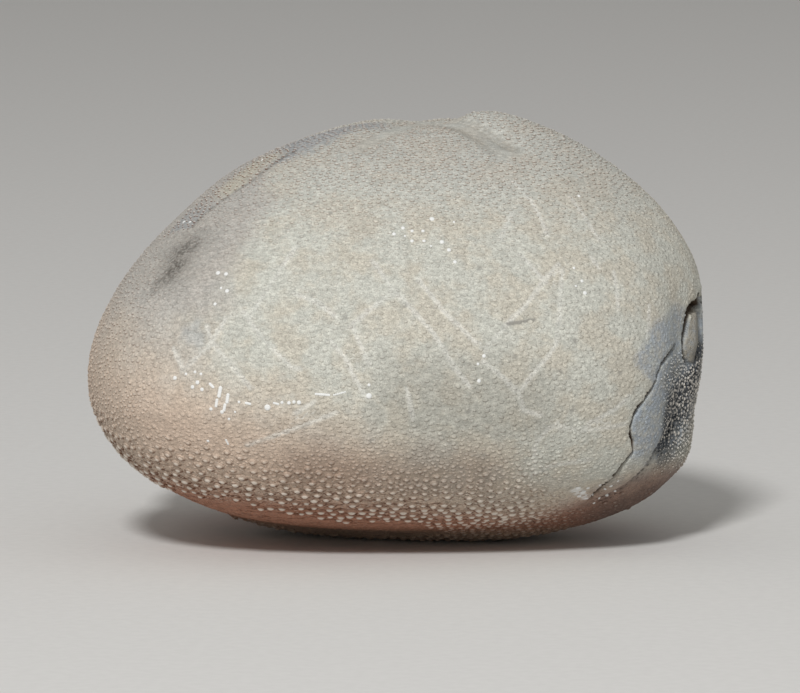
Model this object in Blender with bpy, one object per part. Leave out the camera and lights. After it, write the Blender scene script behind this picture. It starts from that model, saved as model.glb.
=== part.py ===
# A fossil heart urchin, its test filled with rock, as one solid that rests on its underside.
# +X points to the rear end, -X to the notched front and +Z up. The origin is under the middle.

from collections import namedtuple
import math

import bmesh
import bpy
from mathutils import Matrix, Vector, noise
import numpy as np

# Driving dimensions, in metres
LENGTH = 0.058
WIDTH = 0.0560
HEIGHT = 0.0410

# The design below is in millimetres, and is fitted to the driving dimensions at the end.
# The relief on the plain test makes up the last share of the height.
MM = 0.001
LONG = LENGTH / MM
WIDE = WIDTH / MM
TALL = 0.98 * HEIGHT / MM

# Facets of the solid: meridians round the test, rows from the underside to the top, and the
# share by which the meridians crowd towards the front and rear ends
MERIDIANS = 96
ROWS = 38
END_CROWDING = 0.2

# One level outline of the test. Reaches are shares of the length, the half width is a share of
# the width, and heights are shares of the height. Taper narrows the outline to the rear, and
# square flattens its two ends.
Ring = namedtuple("Ring", "front back half z_front z_side z_back taper square")
RINGS = (
    Ring(0.065, 0.155, 0.085, 0.012, 0.012, 0.012, 0.02, 0.00),
    Ring(0.198, 0.260, 0.210, 0.026, 0.036, 0.034, 0.06, 0.05),
    Ring(0.318, 0.357, 0.345, 0.066, 0.115, 0.080, 0.12, 0.12),
    Ring(0.433, 0.461, 0.445, 0.178, 0.228, 0.174, 0.17, 0.20),
    Ring(0.491, 0.477, 0.493, 0.312, 0.350, 0.315, 0.19, 0.26),
    Ring(0.494, 0.493, 0.490, 0.460, 0.490, 0.480, 0.19, 0.26),
    Ring(0.446, 0.477, 0.446, 0.617, 0.637, 0.625, 0.17, 0.22),
    Ring(0.361, 0.413, 0.364, 0.767, 0.782, 0.777, 0.13, 0.15),
    Ring(0.253, 0.294, 0.254, 0.899, 0.898, 0.906, 0.08, 0.08),
    Ring(0.095, 0.160, 0.125, 0.978, 0.974, 0.982, 0.02, 0.00),
)

# The apex, where the five petals meet, and the middle of the underside
APEX_X = 0.045 * LONG
APEX_Z = 0.992 * TALL
BASE_X = 0.040 * LONG
BASE_Z = 0.004 * TALL

# How far both ends have been squeezed towards the near side in the rock
BEND = 2.6

# Front groove, which makes the notch of the heart: depth and half width at the apex and margin
GROOVE_DEPTH_TOP = 0.25
GROOVE_DEPTH_MARGIN = 2.4
GROOVE_HALF_TOP = 2.1
GROOVE_HALF_MARGIN = 4.6

# Petals, one of each pair: angle from the front, length, half width and depth
Petal = namedtuple("Petal", "angle length half depth")
PETALS = (Petal(62, 13.0, 1.8, 0.40), Petal(139, 12.5, 1.8, 0.70))
PETAL_START = 2.2
DISC_RADIUS = 2.3
DISC_DEPTH = 0.5

# Ridge from behind the apex to the rear opening
KEEL_HEIGHT = 0.9
KEEL_HALF = 4.2

# Rear opening: its middle, half sizes, how much narrower it is at the top, how far its top leans
# to the far side for each step up, and how far the filling stands back above and below
VENT_Y = -BEND - 2.1
VENT_Z = 0.520 * TALL
VENT_HALF_WIDE = 3.6
VENT_HALF_TALL = 3.2
VENT_NARROWING = 0.6
VENT_LEAN = 0.45
VENT_BACK_ABOVE = 0.9
VENT_BACK_BELOW = 0.25

# Upright troughs on the rear face, on each side of the swelling under the rear opening
TROUGH_Y = 7.2
TROUGH_HALF = 3.0
TROUGH_DEPTH = 0.8

# Mouth on the underside, with the lip behind it
MOUTH_X = -0.318 * LONG
MOUTH_HALF_LONG = 1.6
MOUTH_HALF_WIDE = 3.3
MOUTH_DEPTH = 1.8
MOUTH_BEND = 0.07
LIP_X = MOUTH_X + 3.0
LIP_HALF_LONG = 1.7
LIP_HALF_WIDE = 3.0
LIP_HEIGHT = 0.9

# Raised field of the underside, the smooth channels along its sides, and the flat spot on it
FIELD_FRONT = -0.25 * LONG
FIELD_REAR = 0.43 * LONG
FIELD_HALF = 7.2
FIELD_HEIGHT = 0.8
CHANNEL_HALF = 2.3
CHANNEL_DEPTH = 0.45
FLAT_DEPTH = 0.40

# Crack down the near side by the rear end: points along the test and up it, from the top down
CRACK = (
    (27.3, 20.0), (26.8, 18.9), (25.9, 16.9), (24.9, 15.1), (24.0, 13.7), (23.7, 12.1),
    (23.8, 10.3), (22.2, 8.2), (21.0, 6.9), (19.4, 5.3), (16.8, 4.4),
)
CRACK_HALF = 0.22
CRACK_DEPTH = 0.8

# How far a cutting shape reaches out past the surface
CUT_PAST = 2.0

# Largest knobs of the lower flanks: where they stand, the smallest face side that holds one,
# the level rim left round each, and how far it stands out
KNOB_LOW = 0.05 * TALL
KNOB_HIGH = 0.29 * TALL
KNOB_REAR = 0.26 * LONG
KNOB_SMALLEST = 1.2
KNOB_INSET = 0.28
KNOB_HEIGHT = 0.30

# Uneven growth and settling in the rock
UNEVEN_HEIGHT = 0.30
UNEVEN_SPAN = 17.0
UNEVEN_START = Vector((3.1, 7.7, 1.3))

# Finish: edges steeper than this stay sharp, and the colour and roughness of the stone
SHARP_ANGLE = math.radians(30)
STONE_COLOUR = (0.52, 0.49, 0.42, 1.0)
STONE_ROUGHNESS = 0.85


def smooth(low, high, value):
    """0 below low, 1 above high, and an even curve between."""
    share = np.clip((value - low) / (high - low), 0.0, 1.0)
    return share * share * (3.0 - 2.0 * share)


def hump(distance, half):
    """1 in the middle, fading on both sides."""
    return np.exp(-(distance / half) ** 2)


def flat_hump(distance, half):
    """1 over a flat middle, falling steeply at the half width."""
    return 1.0 / (1.0 + (distance / half) ** 6)


def bend_at(x):
    """Where the middle line of the test lies across, since both ends bend to the near side."""
    return -BEND * (x / (LONG / 2)) ** 2


def ring_points(ring, turn):
    """Points of one level outline at these angles, with angle 0 at the rear."""
    c, s = np.cos(turn), np.sin(turn)
    mean, shift = (ring.back + ring.front) / 2, (ring.back - ring.front) / 2
    x = LONG * (mean * ((1 + ring.square) * c - ring.square * c ** 3) + shift * c ** 2)
    y = WIDE * ring.half * s * (1 - ring.taper * c) / (1 + ring.taper ** 2 / 2)
    lean, bow = (ring.z_back - ring.z_front) / 2, (ring.z_back + ring.z_front) / 2 - ring.z_side
    z = TALL * (ring.z_side + lean * c + bow * c ** 2)
    return np.stack([x, y, z], -1)


def body_points(turn, level):
    """The plain test. Level runs from 0 in the middle of the underside to 1 at the apex."""
    base = np.broadcast_to(np.array([BASE_X, 0.0, BASE_Z]), turn.shape + (3,))
    apex = np.broadcast_to(np.array([APEX_X, 0.0, APEX_Z]), turn.shape + (3,))
    rows = [ring_points(RINGS[0], turn + math.pi), base]
    rows += [ring_points(ring, turn) for ring in RINGS]
    rows += [apex, ring_points(RINGS[-1], turn + math.pi)]
    rows = np.stack(rows)
    spans = len(RINGS) + 1
    place = np.clip(level, 0.0, 1.0) * spans
    span = np.minimum(place.astype(int), spans - 1)
    column = tuple(np.indices(turn.shape))
    before, start, end, after = (rows[(span + step,) + column] for step in range(4))
    share = (place - span)[..., None]
    square, cube = share ** 2, share ** 3
    return ((2 * cube - 3 * square + 1) * start + (3 * square - 2 * cube) * end
            + (cube - 2 * square + share) * (end - before) / 2 + (cube - square) * (after - start) / 2)


def body_normals(turn, level):
    """Outward normals of the plain test, from small steps each way."""
    step = 1e-3
    level = np.clip(level, 2 * step, 1 - 2 * step)
    along = body_points(turn, level + step) - body_points(turn, level - step)
    around = body_points(turn + step, level) - body_points(turn - step, level)
    normal = np.cross(around, along)
    return normal / np.linalg.norm(normal, axis=-1, keepdims=True)


def groove_relief(x, y, z):
    """The sunken band from the apex over the front margin to the mouth."""
    reach = np.clip((APEX_X - x) / (APEX_X + LONG / 2), 0.0, 1.0)
    under = smooth(0.34 * TALL, 0.10 * TALL, z)
    depth = GROOVE_DEPTH_TOP + (GROOVE_DEPTH_MARGIN - GROOVE_DEPTH_TOP) * smooth(0.1, 1.0, reach)
    half = GROOVE_HALF_TOP + (GROOVE_HALF_MARGIN - GROOVE_HALF_TOP) * reach
    start = np.where(z > TALL / 2, smooth(0.0, 0.12, reach), smooth(MOUTH_X + 2.0, MOUTH_X - 3.0, x))
    return -depth * (1 - 0.45 * under) * start * hump(y, half)


def petal_relief(x, y, z):
    """The four sunken petals, and the dimple where they meet."""
    ahead, aside = APEX_X - x, np.abs(y)
    relief = -DISC_DEPTH * hump(np.hypot(ahead, aside), DISC_RADIUS)
    for petal in PETALS:
        angle = math.radians(petal.angle)
        along = ahead * math.cos(angle) + aside * math.sin(angle)
        across = ahead * math.sin(angle) - aside * math.cos(angle)
        taper = smooth(0.5, PETAL_START + 1.0, along) * smooth(petal.length, petal.length - 3.0, along)
        relief = relief - petal.depth * taper * flat_hump(across, petal.half)
    return relief * smooth(0.5 * TALL, 0.6 * TALL, z)


def keel_relief(x, y, z):
    """The blunt ridge from behind the apex to the rear opening."""
    above = smooth(VENT_Z, VENT_Z + 6.0, z)
    return KEEL_HEIGHT * above * smooth(APEX_X + 0.5, APEX_X + 5.0, x) * hump(y, KEEL_HALF)


def rear_relief(x, y, z):
    """The two upright troughs of the rear face, which leave a swelling between them."""
    rear = smooth(0.36 * LONG, 0.44 * LONG, x)
    tall = smooth(0.06 * TALL, 0.2 * TALL, z) * smooth(0.68 * TALL, 0.5 * TALL, z)
    return -TROUGH_DEPTH * rear * tall * hump(np.abs(y) - TROUGH_Y, TROUGH_HALF)


def under_relief(x, y, z):
    """The lip, the raised field of the underside and the smooth channels beside it."""
    middle = (FIELD_FRONT + FIELD_REAR) / 2
    reach = (x - middle) / (FIELD_REAR - FIELD_FRONT) * 2
    half = FIELD_HALF * (0.62 + 0.38 * hump(reach - 0.15, 0.8))
    field = FIELD_HEIGHT * smooth(1.08, 0.86, np.abs(reach)) * flat_hump(y, half)
    beside = np.abs(y) - half - CHANNEL_HALF
    channels = -CHANNEL_DEPTH * smooth(1.5, 1.0, np.abs(reach)) * hump(beside, CHANNEL_HALF)
    lip = LIP_HEIGHT * hump(x - LIP_X - MOUTH_BEND * y ** 2, LIP_HALF_LONG) * hump(y, LIP_HALF_WIDE)
    return (field + channels + lip) * smooth(0.24 * TALL, 0.15 * TALL, z)


def unevenness(points):
    """Broad low swells, which make the two sides differ a little."""
    spots = [noise.noise(Vector(point) / UNEVEN_SPAN + UNEVEN_START) for point in points.reshape(-1, 3)]
    return UNEVEN_HEIGHT * np.array(spots).reshape(points.shape[:-1])


def test_points(turn, level):
    """The whole outer surface in millimetres."""
    body = body_points(turn, level)
    x, y, z = body[..., 0], body[..., 1], body[..., 2]
    relief = groove_relief(x, y, z) + petal_relief(x, y, z) + keel_relief(x, y, z)
    relief = relief + rear_relief(x, y, z) + under_relief(x, y, z) + unevenness(body)
    points = body + body_normals(turn, level) * relief[..., None]
    points[..., 1] += bend_at(points[..., 0])
    return points


def every_second_face(ball):
    """The faces of the round ball that stand like the black squares of a chessboard."""
    picked = []
    for face in ball.faces:
        way = face.calc_center_median().normalized()
        column = math.floor((math.atan2(way.y, way.x) / math.tau + 0.5) * MERIDIANS)
        row = math.floor(math.acos(-way.z) / math.pi * ROWS)
        if (column + row) % 2 == 0:
            picked.append(face)
    return picked


def shape_ball(ball):
    """Moves each vertex of the round ball to its place on the test."""
    ways = np.array([vert.co for vert in ball.verts])
    turn = np.arctan2(ways[:, 1], ways[:, 0])
    turn = turn - END_CROWDING / 2 * np.sin(2 * turn)
    level = np.arccos(np.clip(-ways[:, 2], -1.0, 1.0)) / math.pi
    for vert, point in zip(ball.verts, test_points(turn, level)):
        vert.co = point


def raise_knobs(ball, faces):
    """Raises those of these faces that are on the lower flanks into low knobs."""
    knobs = []
    for face in faces:
        middle = face.calc_center_median()
        roomy = min(edge.calc_length() for edge in face.edges) > KNOB_SMALLEST
        if roomy and KNOB_LOW < middle.z < KNOB_HIGH and middle.x < KNOB_REAR:
            knobs.append(face)
    bmesh.ops.inset_individual(ball, faces=knobs, thickness=KNOB_INSET, use_even_offset=True)
    bmesh.ops.poke(ball, faces=knobs, offset=KNOB_HEIGHT)


def cut_flat(ball):
    """Cuts the flat spot that the test rests on, and sets it at height 0."""
    floor = min(vert.co.z for vert in ball.verts) + FLAT_DEPTH
    everything = ball.verts[:] + ball.edges[:] + ball.faces[:]
    bmesh.ops.bisect_plane(
        ball, geom=everything, plane_co=(0, 0, floor), plane_no=(0, 0, 1), clear_inner=True
    )
    bmesh.ops.holes_fill(ball, edges=[edge for edge in ball.edges if edge.is_boundary])
    bmesh.ops.translate(ball, verts=ball.verts, vec=(0, 0, -floor))


def fit_to_size(ball):
    """Centres the test and scales it to the driving dimensions, which turns it into metres."""
    points = np.array([vert.co for vert in ball.verts])
    low, high = points.min(axis=0), points.max(axis=0)
    scale = np.array([LENGTH, WIDTH, HEIGHT]) / (high - low)
    middle = Vector((-(low[0] + high[0]) / 2, -(low[1] + high[1]) / 2, 0))
    bmesh.ops.translate(ball, verts=ball.verts, vec=middle)
    bmesh.ops.scale(ball, verts=ball.verts, vec=Vector(scale))


def new_object(name, shape):
    """An object in the scene from a finished bmesh."""
    mesh = bpy.data.meshes.new(name)
    shape.to_mesh(mesh)
    shape.free()
    made = bpy.data.objects.new(name, mesh)
    bpy.context.scene.collection.objects.link(made)
    return made


def make_test():
    ball = bmesh.new()
    bmesh.ops.create_uvsphere(ball, u_segments=MERIDIANS, v_segments=ROWS, radius=1.0)
    board = every_second_face(ball)
    shape_ball(ball)
    raise_knobs(ball, board)
    cut_flat(ball)
    fit_to_size(ball)
    bmesh.ops.triangulate(ball, faces=ball.faces)
    return new_object("urchin_test", ball)


def cut_from(target, name, shape):
    """Cuts a closed shape, given in millimetres, out of the target."""
    bmesh.ops.scale(shape, verts=shape.verts, vec=Vector((MM, MM, MM)))
    cutter = new_object(name, shape)
    cutter.hide_render = True
    cutter.display_type = "WIRE"
    cut = target.modifiers.new(name, "BOOLEAN")
    cut.operation = "DIFFERENCE"
    cut.solver = "EXACT"
    cut.object = cutter


def surface_from(target, start, way):
    """Where a straight line from a point outside first meets the target, and the normal there."""
    _, place, normal, _ = target.ray_cast(Vector(start) * MM, Vector(way))
    return place / MM, normal


def mouth_cutter(target):
    """A bean-shaped pit, bent round the lip."""
    place, _ = surface_from(target, (MOUTH_X, bend_at(MOUTH_X), -TALL), (0, 0, 1))
    shape = bmesh.new()
    bmesh.ops.create_uvsphere(shape, u_segments=20, v_segments=10, radius=1.0)
    bmesh.ops.scale(shape, verts=shape.verts, vec=(MOUTH_HALF_LONG, MOUTH_HALF_WIDE, MOUTH_DEPTH))
    for vert in shape.verts:
        vert.co.x += MOUTH_BEND * vert.co.y ** 2
    bmesh.ops.translate(shape, verts=shape.verts, vec=place)
    return shape


def vent_cutter(target):
    """A drum whose inner end leans, so that the filling stands back most at the top."""
    place, _ = surface_from(target, (LONG, VENT_Y, VENT_Z), (-1, 0, 0))
    shape = bmesh.new()
    bmesh.ops.create_cone(shape, cap_ends=True, segments=28, radius1=1.0, radius2=1.0, depth=2.0)
    bmesh.ops.rotate(shape, verts=shape.verts, matrix=Matrix.Rotation(math.pi / 2, 3, "Y"))
    bmesh.ops.scale(shape, verts=shape.verts, vec=(1.0, VENT_HALF_WIDE, VENT_HALF_TALL))
    for vert in shape.verts:
        above = (vert.co.z / VENT_HALF_TALL + 1) / 2
        back = VENT_BACK_BELOW + (VENT_BACK_ABOVE - VENT_BACK_BELOW) * above
        vert.co.x = -back if vert.co.x < 0 else CUT_PAST
        vert.co.y = vert.co.y * (1 - VENT_NARROWING * above) + VENT_LEAN * vert.co.z
    bmesh.ops.translate(shape, verts=shape.verts, vec=place)
    return shape


def crack_cutter(target):
    """A wedge that follows the crack over the near side."""
    shape = bmesh.new()
    rows = [surface_from(target, (x, -WIDE, z), (0, 1, 0)) for x, z in CRACK]
    inner, sides = [], []
    for number, (place, normal) in enumerate(rows):
        before, after = rows[max(number - 1, 0)][0], rows[min(number + 1, len(rows) - 1)][0]
        side = (after - before).cross(normal).normalized() * CRACK_HALF
        top = place + normal * CUT_PAST
        wide = side * (1 + CUT_PAST / CRACK_DEPTH)
        inner.append(shape.verts.new(place - normal * CRACK_DEPTH))
        sides.append((shape.verts.new(top - wide), shape.verts.new(top + wide)))
    for step in range(len(rows) - 1):
        left, right = sides[step]
        next_left, next_right = sides[step + 1]
        shape.faces.new((inner[step], inner[step + 1], next_left, left))
        shape.faces.new((inner[step + 1], inner[step], right, next_right))
        shape.faces.new((left, next_left, next_right, right))
    shape.faces.new((inner[0], *sides[0]))
    shape.faces.new((inner[-1], *reversed(sides[-1])))
    bmesh.ops.recalc_face_normals(shape, faces=shape.faces)
    return shape


def stone_material():
    stone = bpy.data.materials.new("stone")
    stone.use_nodes = True
    surface = stone.node_tree.nodes["Principled BSDF"]
    surface.inputs["Base Color"].default_value = STONE_COLOUR
    surface.inputs["Roughness"].default_value = STONE_ROUGHNESS
    surface.inputs["Metallic"].default_value = 0.0
    return stone


def main():
    for leftover in bpy.data.objects[:]:
        bpy.data.objects.remove(leftover, do_unlink=True)
    test = make_test()
    test.data.materials.append(stone_material())
    test.data.shade_smooth()
    test.data.set_sharp_from_angle(angle=SHARP_ANGLE)
    cut_from(test, "cut_mouth", mouth_cutter(test))
    cut_from(test, "cut_vent", vent_cutter(test))
    cut_from(test, "cut_crack", crack_cutter(test))


if __name__ == "__main__":
    main()
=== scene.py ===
# Fossil heart urchin: the stony test with its knobs, petals, worn specks, crack and stains.
import math
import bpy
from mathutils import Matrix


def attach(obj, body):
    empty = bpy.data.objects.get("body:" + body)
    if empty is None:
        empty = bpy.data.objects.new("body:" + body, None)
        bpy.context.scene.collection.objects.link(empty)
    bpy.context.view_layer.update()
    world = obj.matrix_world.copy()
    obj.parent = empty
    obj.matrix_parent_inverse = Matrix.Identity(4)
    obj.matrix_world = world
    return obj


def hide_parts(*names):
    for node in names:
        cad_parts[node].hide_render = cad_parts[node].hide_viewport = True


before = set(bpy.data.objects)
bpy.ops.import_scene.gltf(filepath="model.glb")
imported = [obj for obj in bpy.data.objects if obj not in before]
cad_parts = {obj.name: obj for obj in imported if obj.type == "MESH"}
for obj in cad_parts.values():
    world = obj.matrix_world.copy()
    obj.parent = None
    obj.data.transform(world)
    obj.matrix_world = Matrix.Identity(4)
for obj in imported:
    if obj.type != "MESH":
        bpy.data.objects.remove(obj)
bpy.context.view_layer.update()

from types import SimpleNamespace

import bpy
import numpy as np
from mathutils import Vector, noise
from mathutils.bvhtree import BVHTree
from mathutils.kdtree import KDTree

mm = 0.001  # the frame is in metres, and the sizes below are in millimetres
photoWide, photoTall = 800, 693
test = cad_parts["urchin_test"]


# Helpers


def smooth(low, high, value):
    share = np.clip((value - low) / (high - low), 0.0, 1.0)
    return share * share * (3.0 - 2.0 * share)


def hump(value, half):
    return np.exp(-(value / half) ** 2)


def swell(points, span, seed=0.0):
    # soft noise between -1 and 1 with features of this span
    shift = Vector((seed, 2.7 * seed, -1.3 * seed))
    return np.array([noise.noise(Vector(point) / span + shift) for point in points])


def pick(piece):
    bpy.ops.object.select_all(action="DESELECT")
    piece.select_set(True)
    bpy.context.view_layer.objects.active = piece


def editFaces(piece, chosen):
    # opens edit mode with just these faces selected
    pick(piece)
    bpy.context.tool_settings.mesh_select_mode = (False, False, True)
    piece.data.vertices.foreach_set("select", np.zeros(len(piece.data.vertices), bool))
    piece.data.edges.foreach_set("select", np.zeros(len(piece.data.edges), bool))
    piece.data.polygons.foreach_set("select", chosen)
    bpy.ops.object.mode_set(mode="EDIT")


def applied(piece, kind, **settings):
    pick(piece)
    added = piece.modifiers.new(kind.lower(), kind)
    for setting, value in settings.items():
        setattr(added, setting, value)
    bpy.ops.object.modifier_apply(modifier=added.name)


def pointsOf(piece):
    points = np.empty(len(piece.data.vertices) * 3, np.float32)
    piece.data.vertices.foreach_get("co", points)
    return points.reshape(-1, 3).astype(float) / mm


def normalsOf(piece):
    normals = np.empty(len(piece.data.vertices) * 3, np.float32)
    piece.data.vertex_normals.foreach_get("vector", normals)
    return normals.reshape(-1, 3).astype(float)


def setPoints(piece, points):
    piece.data.vertices.foreach_set("co", (points * mm).astype(np.float32).ravel())
    piece.data.update()


def middlesOf(piece):
    middles = np.empty(len(piece.data.polygons) * 3, np.float32)
    piece.data.polygons.foreach_get("center", middles)
    return middles.reshape(-1, 3).astype(float) / mm


def treeOf(piece):
    points = [tuple(point) for point in pointsOf(piece)]
    return BVHTree.FromPolygons(points, [tuple(face.vertices) for face in piece.data.polygons])


def note(piece, name, values):
    # one number or vector for each vertex, in millimetres, for the materials to read
    kind = "FLOAT" if values.ndim == 1 else "FLOAT_VECTOR"
    layer = piece.data.attributes.new(name, kind, "POINT")
    layer.data.foreach_set("value" if values.ndim == 1 else "vector", values.astype(np.float32).ravel())


# Camera

cameraLook = {
    "turn": 8,  # degrees round the test from straight in front of its near side
    "rise": 6,
    "distance": 600,
    "aim": (-0.33, -0.26, 18.25),
    "lens": 280.6,
    "sensor": 36,
}
turn, rise = math.radians(cameraLook["turn"]), math.radians(cameraLook["rise"])
cameraBack = np.array([math.sin(turn) * math.cos(rise), -math.cos(turn) * math.cos(rise), math.sin(rise)])
cameraRight = np.array([math.cos(turn), math.sin(turn), 0.0])
cameraUp = np.cross(cameraBack, cameraRight)
cameraEye = np.array(cameraLook["aim"]) + cameraBack * cameraLook["distance"]
pixelWide = cameraLook["distance"] * cameraLook["sensor"] / cameraLook["lens"] / photoWide


def addCamera():
    data = bpy.data.cameras.new("camera")
    data.lens = cameraLook["lens"]
    data.sensor_fit = "HORIZONTAL"
    data.sensor_width = cameraLook["sensor"]
    data.clip_start = 0.01
    data.clip_end = 20
    camera = bpy.data.objects.new("camera", data)
    camera.location = Vector(cameraEye * mm)
    camera.rotation_mode = "QUATERNION"
    camera.rotation_quaternion = Vector(-cameraBack).to_track_quat("-Z", "Y")
    bpy.context.scene.collection.objects.link(camera)
    bpy.context.scene.camera = camera


def atPixel(tree, across, down):
    # where the line of sight through a pixel of the photo meets the stone, or just inside its outline
    focal = cameraLook["lens"] / cameraLook["sensor"] * photoWide
    for pull in np.linspace(1.0, 0.9, 11):
        aside, under = (across - photoWide / 2) * pull, (down - photoTall / 2) * pull
        way = cameraRight * aside - cameraUp * under - cameraBack * focal
        place = tree.ray_cast(Vector(cameraEye), Vector(way).normalized())[0]
        if place is not None:
            return np.array(place)


addCamera()
print("camera set")


# What the photo shows on the near side, in its pixels

photoLines = {
    "crack": [(677, 342), (673, 350), (668, 357), (662.6, 364), (658.6, 374), (656, 382), (652, 390),
              (647.5, 396), (644, 402), (638, 409), (634, 417), (631.5, 426), (631.5, 434), (634, 444),
              (633.5, 452), (627.5, 460), (623.6, 464.5), (618, 472.5), (613, 480), (604, 486),
              (597, 493.5), (590.6, 500.4), (576.8, 507.3), (560.7, 509.6)],
    "crease": [(674, 424), (666, 440), (656, 456), (642, 474), (626, 487), (606, 498)],
    "rim": [(300, 149), (284, 157), (262, 173), (250, 182), (231, 194), (215, 206), (201, 217), (190, 230)],
    "slit": [(700, 299), (697, 302), (691, 310), (688, 319), (685, 331), (683, 340), (682.5, 350),
             (684, 359), (686, 366)],
}
photoStreaks = [
    # ends, and radius
    ((220.5, 388), (219, 396), 2.0), ((228, 395), (227, 402), 1.8), ((217, 400), (216, 406), 1.6),
    ((225, 405), (224, 410), 1.7), ((210, 384), (213, 387), 1.5), ((316, 394), (329, 395), 1.4),
    ((246, 403), (250, 404), 1.4), ((274, 403), (278, 404), 1.2), ((334, 395), (345, 392), 1.0),
    ((226, 440), (228, 444), 1.2),
]
photoMarks = {
    # both ends, raggedness, reach and softness in mm, strength, colour
    "cheek": ((415, 395), (520, 402), 1.0, 0.5, 6.0, 0.48, "shade"),
    "cheekLow": ((310, 470), (480, 470), 1.0, 0.0, 5.5, 0.32, "foot"),
    "blueTop": ((284, 154), (350, 124), 1.0, 1.0, 3.0, 0.65, "blueTop"),
    "yellow": ((233, 185), (268, 159), 0.7, 0.5, 2.4, 0.60, "yellow"),
    "petalShade": ((436, 126), (506, 149), 0.4, 0.3, 1.4, 0.25, "stain"),
    "stainTail": ((175, 268), (157, 286), 0.5, 0.1, 1.3, 0.55, "stain"),
    "stainHaze": ((185, 249), (175, 268), 1.0, 0.5, 4.0, 0.28, "stain"),
    "stainEdge": ((190, 330), (196, 338), 0.5, 0.3, 1.0, 0.22, "blueGrey"),
    "stain": ((185, 249), (175, 268), 0.5, 0.4, 1.7, 0.90, "stain"),
    "chip": ((576, 490), (588, 498), 3.0, 0.25, 0.5, 0.60, "flake"),
    "stroke": ((508, 324), (534, 320), 1.0, 0.08, 0.16, 0.75, "spot"),
}
photoSpots = [
    (575, 341), (515, 356), (572, 410), (468, 411), (330, 213), (543, 472), (313, 295), (346, 317),
    (405, 305), (620, 372), (480, 268), (372, 441), (560, 372), (592, 388),
]
photoSutures = [
    [(373, 262), (392, 288), (434, 334), (454, 367), (469, 386)],
    [(419, 280), (443, 311), (475, 342)],
    [(393, 291), (352, 325), (369, 364)],
    [(296, 294), (317, 302), (335, 316)],
    [(296, 247), (271, 284), (249, 318)],
    [(243, 313), (264, 340), (291, 367), (300, 369)],
    [(331, 341), (346, 359), (351, 371), (365, 396)],
    [(225, 320), (212, 343), (183, 371)],
    [(207, 327), (212, 343), (250, 387)],
    [(174, 350), (183, 369)],
    [(248, 445), (293, 429), (335, 413)],
    [(296, 413), (314, 402)],
    [(407, 390), (413, 418)],
    [(558, 265), (545, 280), (525, 306), (508, 323), (486, 349)],
    [(484, 362), (504, 378), (518, 394), (532, 375), (547, 358), (556, 345)],
    [(519, 397), (523, 410), (540, 415)],
    [(558, 423), (547, 430), (535, 445), (534, 471), (532, 475)],
    [(556, 427), (586, 430), (625, 424)],
    [(588, 424), (614, 410), (629, 397)],
    [(532, 475), (553, 465), (590, 459)],
    [(562, 270), (556, 345)],
    [(514, 182), (532, 202), (541, 219), (547, 234)],
    [(571, 198), (590, 226), (599, 239)],
    [(592, 258), (598, 267)],
    [(614, 273), (618, 306)],
    [(649, 306), (647, 338)],
    [(521, 255), (545, 282)],
    [(512, 213), (501, 239)],
]
photoSpecks = [
    # place, and radius
    (197.5, 382.5, 2.2), (192.5, 387, 2.0), (202, 389.5, 2.0), (211, 409, 1.8), (222, 412, 2.0),
    (235, 412, 1.2), (229, 419, 1.5), (267.5, 407.5, 3.2), (282, 402.5, 1.6), (289, 403, 1.9),
    (294, 402, 1.8), (299, 402.5, 2.2), (208, 441, 1.6), (175, 378, 2.2), (195, 372, 1.6), (186, 374, 1.5),
    (201, 374, 1.5), (369, 396, 3.0), (369, 385, 1.6), (394, 234, 2.0), (403, 228, 2.0), (412, 231, 1.8),
    (423, 231, 1.8), (424, 241, 1.8), (412, 241, 1.9), (442, 242, 2.3), (449, 250, 2.2), (455, 262, 2.0),
    (432, 219, 2.6), (454, 222, 1.3), (405, 236, 1.2), (431, 246, 1.2), (215, 304, 1.8), (227, 291, 2.2),
    (226, 274, 2.2), (218, 273, 2.4), (221, 288, 1.4), (579, 196, 1.8), (574, 268, 1.6), (582, 281, 1.8),
    (576, 286, 1.3), (585, 293, 2.2), (479, 381, 2.0), (484, 356, 2.0), (478, 364, 1.5), (184, 222, 2.0),
    (190, 222, 1.8), (262, 160, 1.6), (239, 402, 1.5), (578, 488, 2.8), (583, 492, 3.2), (588, 488, 2.0),
    (579, 496, 2.4), (586, 498, 2.4), (592, 494, 1.8), (600, 485, 1.6), (605, 489, 1.5), (611, 486, 1.9),
    (615, 491, 1.5), (607, 495, 2.1), (599, 498, 1.7), (594, 503, 1.5), (618, 481, 1.3),
]


# The stone body

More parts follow.
